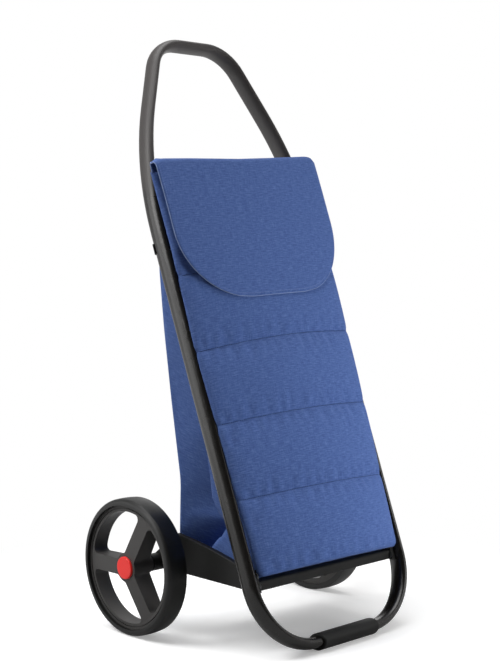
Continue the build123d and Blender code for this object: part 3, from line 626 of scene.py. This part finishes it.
def heathered_polyester(name, dark, mid, light):
    """Plain-woven melange polyester: threads of three blues, slubs along both threads, a dry sheen.

    Real threads lie 0.5 mm apart, finer than the render shows, so the weave is
    drawn at 1.5 mm and its slubs at 1.4 mm by 13 mm.
    """
    material, tree, shader = start_material(name, {
        "Roughness": 0.9, "IOR": 1.5, "Specular IOR Level": 0.16,
        "Sheen Weight": 0.1, "Sheen Roughness": 0.5, "Sheen Tint": linear("#B9C8EE")})
    cloth = add(tree, "ShaderNodeUVMap", uv_map="cloth").outputs["UV"]
    weft = add(tree, "ShaderNodeMapping", {"Vector": cloth, "Scale": (1 / 0.013, 1 / 0.0014, 1)})
    warp = add(tree, "ShaderNodeMapping", {"Vector": cloth, "Scale": (1 / 0.0014, 1 / 0.013, 1)})
    slub = {"Scale": 1.0, "Detail": 3.0, "Roughness": 0.66}
    weft_slub = add(tree, "ShaderNodeTexNoise", {"Vector": weft.outputs[0], **slub})
    warp_slub = add(tree, "ShaderNodeTexNoise", {"Vector": warp.outputs[0], **slub})
    both = add(tree, "ShaderNodeMath", {0: warp_slub.outputs["Fac"], 1: 0.55, 2: weft_slub.outputs["Fac"]},
               operation="MULTIPLY_ADD")
    spread = add(tree, "ShaderNodeMapRange", {"Value": both.outputs[0], "From Min": 0.5, "From Max": 1.05})
    deep = add(tree, "ShaderNodeMapRange", {"Value": spread.outputs[0], "From Min": 0.0, "From Max": 0.5})
    pale = add(tree, "ShaderNodeMapRange", {"Value": spread.outputs[0], "From Min": 0.5, "From Max": 1.0})
    lower = add(tree, "ShaderNodeMix", {0: deep.outputs[0], 6: linear(dark), 7: linear(mid)}, data_type="RGBA")
    upper = add(tree, "ShaderNodeMix", {0: pale.outputs[0], 6: lower.outputs[2], 7: linear(light)}, data_type="RGBA")
    tree.links.new(upper.outputs[2], shader.inputs["Base Color"])
    period = 0.31416 / 0.0015
    rows = add(tree, "ShaderNodeTexWave", {"Vector": cloth, "Scale": period}, bands_direction="Y")
    columns = add(tree, "ShaderNodeTexWave", {"Vector": cloth, "Scale": period}, bands_direction="X")
    weave = add(tree, "ShaderNodeMath", {0: rows.outputs["Fac"], 1: columns.outputs["Fac"]}, operation="MULTIPLY")
    relief = add(tree, "ShaderNodeMath", {0: both.outputs[0], 1: weave.outputs[0]}, operation="ADD")
    bump = add(tree, "ShaderNodeBump", {"Height": relief.outputs[0], "Strength": 0.3, "Distance": 0.0003})
    tree.links.new(bump.outputs[0], shader.inputs["Normal"])
    return material


def grained(name, constants, low, high, grain, relief, shine):
    """A moulded or coated surface: fine grain in its colour, roughness and relief.

    grain is the grit's size in millimetres, drawn no finer than the render shows.
    """
    material, tree, shader = start_material(name, constants)
    place = add(tree, "ShaderNodeTexCoord").outputs["Object"]
    grit = add(tree, "ShaderNodeTexNoise", {
        "Vector": place, "Scale": 1 / (grain * MM), "Detail": 2.0, "Roughness": 0.55})
    cloud = add(tree, "ShaderNodeTexNoise", {"Vector": place, "Scale": 1 / (45 * MM), "Detail": 2.0})
    tone = add(tree, "ShaderNodeMath", {0: grit.outputs["Fac"], 1: cloud.outputs["Fac"], 2: 0.22},
               operation="MULTIPLY_ADD")
    colour = add(tree, "ShaderNodeMix", {0: tone.outputs[0], 6: linear(low), 7: linear(high)}, data_type="RGBA")
    tree.links.new(colour.outputs[2], shader.inputs["Base Color"])
    rough = add(tree, "ShaderNodeMapRange", {
        "Value": cloud.outputs["Fac"], "From Min": 0.3, "From Max": 0.7, "To Min": shine[0], "To Max": shine[1]})
    tree.links.new(rough.outputs[0], shader.inputs["Roughness"])
    bump = add(tree, "ShaderNodeBump", {"Height": grit.outputs["Fac"], "Strength": 0.4, "Distance": relief * MM})
    tree.links.new(bump.outputs[0], shader.inputs["Normal"])
    return material


def grip_coat_and_painted_light(material, tone, shine, start, full):
    """Duller above a height for a soft-touch lacquer, and paler there as painted light for the brighter light round
    the grip; both feathered between two heights.
    """
    tree = material.node_tree
    shader = tree.nodes["Principled BSDF"]
    place = add(tree, "ShaderNodeTexCoord").outputs["Object"]
    height = add(tree, "ShaderNodeSeparateXYZ", {0: place}).outputs["Z"]
    part = add(tree, "ShaderNodeMapRange", {"Value": height, "From Min": start * MM, "From Max": full * MM},
               interpolation_type="SMOOTHSTEP").outputs[0]
    colour = shader.inputs["Base Color"]
    # Painted light: the paler tone is blended into the tube's colour above the start height
    both = add(tree, "ShaderNodeMix", {0: part, 6: colour.links[0].from_socket, 7: linear(tone)}, data_type="RGBA")
    tree.links.new(both.outputs[2], colour)
    rough = shader.inputs["Roughness"]
    both = add(tree, "ShaderNodeMix", {0: part, 2: rough.links[0].from_socket, 3: shine})
    tree.links.new(both.outputs[0], rough)
    return material


# Finishes, each for what the real surface is
cloth_blue = heathered_polyester("heathered_polyester", "#3B4F83", "#465D94", "#5E78AF")
# Woven tape folded over a cut edge: paler than the cloth, a thin line round it
piping_tape = grained("woven_piping", {"Specular IOR Level": 0.2, "Sheen Weight": 0.2},
    "#6A7EAB", "#8294BC", 0.8, 0.1, (0.75, 0.85))
# Spun polyester thread: pale on the flap's hem; on the padded seams a darker copy of it, painted shade of the seam
# grooves
thread_pale = grained("pale_polyester_thread", {"Specular IOR Level": 0.3},
    "#6075A6", "#7489B7", 0.4, 0.05, (0.55, 0.65))
# Painted shade: the seam thread is made far darker than the cloth, standing in for the shade in the seam grooves
seam_thread_painted_shade = grained("painted_shade_seam_thread", {"Specular IOR Level": 0.2},
    "#222F52", "#2F3E68", 0.4, 0.05, (0.6, 0.7))
# Flat woven strap: dull black with a fine rib
webbing = grained("black_webbing", {"Specular IOR Level": 0.2}, "#121317", "#1E2026", 0.7, 0.15, (0.75, 0.85))
finishes = {
    # Satin powder coat on aluminium: a warm black with a soft lengthwise highlight, duller at the grip for its
    # soft-touch coat and paler there with painted light
    "black_tube": grip_coat_and_painted_light(grained("satin_powder_coat_painted_light_at_grip", {"IOR": 1.5, "Specular IOR Level": 0.7}, "#0D0B0A", "#171411",
                                    1.1, 0.006, (0.24, 0.28)), "#302C2B", 0.44, 690, 735),
    # Moulded polypropylene with an eroded texture: dull black that greys where it catches light
    "black_plastic": grained("moulded_polypropylene", {"IOR": 1.49, "Specular IOR Level": 0.35},
        "#101010", "#1A1A19", 0.9, 0.06, (0.46, 0.56)),
    # Grey moulded rim, the same resin with a lighter filler
    "grey_plastic": grained("grey_polypropylene", {"IOR": 1.49, "Specular IOR Level": 0.35},
        "#383736", "#474544", 0.9, 0.05, (0.44, 0.54)),
    # Zinc-plated steel: bars, axle, screws
    "steel": grained("zinc_plated_steel", {"Metallic": 1.0}, "#9A9CA0", "#B4B6B9", 0.8, 0.01, (0.3, 0.42)),
    # Foamed rubber tyre: near black, almost no shine
    "tyre": grained("foamed_rubber", {"IOR": 1.52, "Specular IOR Level": 0.45},
        "#0B0B0B", "#151514", 1.0, 0.05, (0.38, 0.46)),
    # Natural acetal bushes: milky white, slightly waxy
    "bush_plastic": grained("natural_acetal", {"IOR": 1.48}, "#DAD8CF", "#E6E4DC", 0.8, 0.02, (0.4, 0.48)),
    # Glossy red ABS cap
    "red_plastic": grained("red_abs", {"IOR": 1.54, "Specular IOR Level": 0.35},
        "#FA302B", "#FF3933", 1.4, 0.01, (0.28, 0.34)),
    # Flat board in the bag's floor: extruded sheet
    "board": grained("extruded_board", {"IOR": 1.49}, "#2B2C30", "#36373B", 1.2, 0.03, (0.5, 0.6)),
}
for row in frame["record"]["subparts"]:
    finish = finishes.get(row["material_slot"])
    if finish:
        piece = frame["nodes"][row["node"]]
        piece.data.materials.clear()
        piece.data.materials.append(finish)


def dress(piece, material, body):
    """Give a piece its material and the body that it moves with."""
    piece.data.materials.append(material)
    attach(piece, body)
    return piece


# Padded front with its sewn seams
pad = dress(padded_front(), cloth_blue, "chassis")
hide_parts("front_panel")
front_seams = stitching("front_seams", panel_seams(), pitch=3.4, length=2.9, thread=0.9)
# The seams' dark thread is painted shade of their grooves
dress(front_seams, seam_thread_painted_shade, "chassis")

# Bag
bag = dress(bag_shell(), cloth_blue, "chassis")
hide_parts("bag_back", "bag_left_side", "bag_right_side", "bag_lining")
for side in (-1, 1):
    dress(side_tab(side), webbing, "chassis")

# Flap with its piping and its line of stitches
flap = flap_sheet()
flap.data.materials.append(cloth_blue)
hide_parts("flap")
rim, out = flap_rim(0.0, PIPING_ROW)
flap_piping = bead("flap_piping", on_frame(*rim.T), PIPING, out)
flap_piping.data.materials.append(piping_tape)
seam, _ = flap_rim(STITCH_INSET, STITCH_ROW)
seam[:, 2] += FLAP_CLOTH / 2
flap_stitches = stitching("flap_stitches", [on_frame(*seam.T)], pitch=3.6, length=2.9, thread=0.7)
flap_stitches.data.materials.append(thread_pale)
start = on_frame(0.0, BAR_ALONG + BEND_FROM[0], BEND_FROM[1])
end = on_frame(0.0, BAR_ALONG + BEND_TO[0], BEND_TO[1])
for piece in (flap, flap_piping, flap_stitches):
    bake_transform(piece)


def behind(tree, place, near, far):
    """How much a place or a direction belongs to the white backdrop behind the object: 0 in front, 1 behind."""
    reach = add(tree, "ShaderNodeVectorMath", {0: place, 1: (0.69, 0.72, 0.0)}, operation="DOT_PRODUCT")
    part = add(tree, "ShaderNodeMapRange", {"Value": reach.outputs["Value"], "From Min": near, "From Max": far},
               interpolation_type="SMOOTHSTEP")
    return part.outputs[0]


def seen_white(tree, part):
    """1 for rays that see the surroundings straight or through something, and this part for mirrored rays."""
    path = add(tree, "ShaderNodeLightPath")
    straight = add(tree, "ShaderNodeMath", {0: path.outputs["Is Camera Ray"], 1: path.outputs["Is Transmission Ray"]},
                   operation="MAXIMUM")
    mirrored = add(tree, "ShaderNodeMath", {0: path.outputs["Is Glossy Ray"], 1: 0.5}, operation="MULTIPLY")
    mirrored = add(tree, "ShaderNodeMath", {0: mirrored.outputs[0], 1: part}, operation="MULTIPLY")
    both = add(tree, "ShaderNodeMath", {0: straight.outputs[0], 1: mirrored.outputs[0]}, operation="MAXIMUM")
    return path, both.outputs[0]


def studio():
    """White surroundings; lamps above, low ahead on the right, high on the left rear and behind on the right.

    Seen straight, the surroundings and the far floor are white; near the object
    the floor keeps its shadow. Mirrored, the backdrop is white and the room
    before it dark, as in a studio. The strip, softbox and panel only show as highlights.
    """
    world = bpy.data.worlds.new("studio")
    scene.world = world
    world.use_nodes = True
    tree = world.node_tree
    tree.nodes.clear()
    way = add(tree, "ShaderNodeTexCoord").outputs["Object"]
    path, seen = seen_white(tree, behind(tree, way, -0.5, 0.3))
    above = add(tree, "ShaderNodeVectorMath", {0: way, 1: (0.09, 0.02, 0.18)}, operation="DOT_PRODUCT")
    soft = add(tree, "ShaderNodeMath", {0: above.outputs["Value"], 1: 0.13}, operation="ADD")
    level = add(tree, "ShaderNodeMix", {0: path.outputs["Is Glossy Ray"], 2: soft.outputs[0], 3: 0.04})
    lit = add(tree, "ShaderNodeBackground", {"Color": (1, 1, 1, 1), "Strength": level.outputs[0]})
    white = add(tree, "ShaderNodeBackground", {"Color": (1, 1, 1, 1), "Strength": 1.0})
    mixed = add(tree, "ShaderNodeMixShader", {0: seen, 1: lit.outputs[0], 2: white.outputs[0]})
    add(tree, "ShaderNodeOutputWorld", {"Surface": mixed.outputs[0]})

    corners = np.array([[-9, -9, 0], [9, -9, 0], [9, 9, 0], [-9, 9, 0]], float)
    floor = make_piece("floor", corners, np.array([[0, 1, 2, 3]]))
    material, tree, shader = start_material("white_floor", {
        "Roughness": 0.9, "Specular IOR Level": 0.1, "Emission Color": (1, 1, 1, 1)})
    place = add(tree, "ShaderNodeTexCoord").outputs["Object"]
    _, seen = seen_white(tree, behind(tree, place, -0.3, 0.5))
    tone = add(tree, "ShaderNodeMix", {0: seen, 6: (0.38, 0.38, 0.38, 1), 7: (0.93, 0.93, 0.93, 1)}, data_type="RGBA")
    tree.links.new(tone.outputs[2], shader.inputs["Base Color"])
    glow = add(tree, "ShaderNodeMath", {0: seen, 1: 0.26}, operation="MULTIPLY")
    tree.links.new(glow.outputs[0], shader.inputs["Emission Strength"])
    far = add(tree, "ShaderNodeVectorMath", {0: place}, operation="LENGTH")
    fade = add(tree, "ShaderNodeMapRange", {"Value": far.outputs["Value"], "From Min": 0.32, "From Max": 0.72},
               interpolation_type="SMOOTHSTEP")
    open_floor = add(tree, "ShaderNodeMath", {0: fade.outputs[0], 1: seen}, operation="MULTIPLY")
    white = add(tree, "ShaderNodeEmission", {"Color": (1, 1, 1, 1), "Strength": 1.0})
    mixed = add(tree, "ShaderNodeMixShader", {0: open_floor.outputs[0], 1: shader.outputs[0], 2: white.outputs[0]})
    tree.links.new(mixed.outputs[0], tree.nodes["Material Output"].inputs["Surface"])
    floor.data.materials.append(material)
    for name, place, aim, wide, tall, power, lights, mirrors in (
        ("top_lamp", (0.0, 0.1, 3.0), (0, 0, 0.3), 2.4, 2.4, 48, True, True),
        ("front_lamp", (0.85, -1.15, 0.1), (0, 0, 0.35), 0.8, 0.8, 27, True, False),
        ("front_strip", (1.15, -1.95, 1.2), (0, 0, 0.3), 0.9, 0.5, 5, False, True),
        ("left_lamp", (-1.5, 0.95, 2.0), (0, 0, 0.4), 1.2, 1.2, 47, True, False),
        ("left_softbox", (-2.03, 0.36, 1.9), (0, 0, 0.4), 1.3, 2.0, 31, False, True),
        ("left_panel", (-2.04, 1.27, 0.75), (0, 0, 0.75), 1.8, 1.5, 13, False, True),
        ("rear_lamp", (2.3, 1.7, 1.2), (0, 0, 0.5), 1.4, 1.4, 8, True, True),
    ):
        lamp = bpy.data.lights.new(name, "AREA")
        lamp.energy = power
        lamp.shape = "RECTANGLE"
        lamp.size = wide
        lamp.size_y = tall
        holder = bpy.data.objects.new(name, lamp)
        scene.collection.objects.link(holder)
        holder.location = place
        holder.visible_camera = False
        holder.visible_diffuse = lights
        holder.visible_glossy = mirrors
        way = np.array(aim) - np.array(place)
        flat = math.hypot(way[0], way[1])
        holder.rotation_euler = (math.atan2(flat, -way[2]), 0, math.atan2(-way[0], way[1]))


studio()
camera = bpy.data.cameras.new("photo_camera")
camera.sensor_width = 36.0
camera.lens = 71.94
camera.clip_end = 60.0
viewer = bpy.data.objects.new("photo_camera", camera)
scene.collection.objects.link(viewer)
viewer.location = (-1.5289, -1.5647, 0.6295)
viewer.rotation_euler = (math.radians(90 - 3.97), 0, -math.radians(43.71))
scene.camera = viewer
scene.view_settings.view_transform = "Standard"
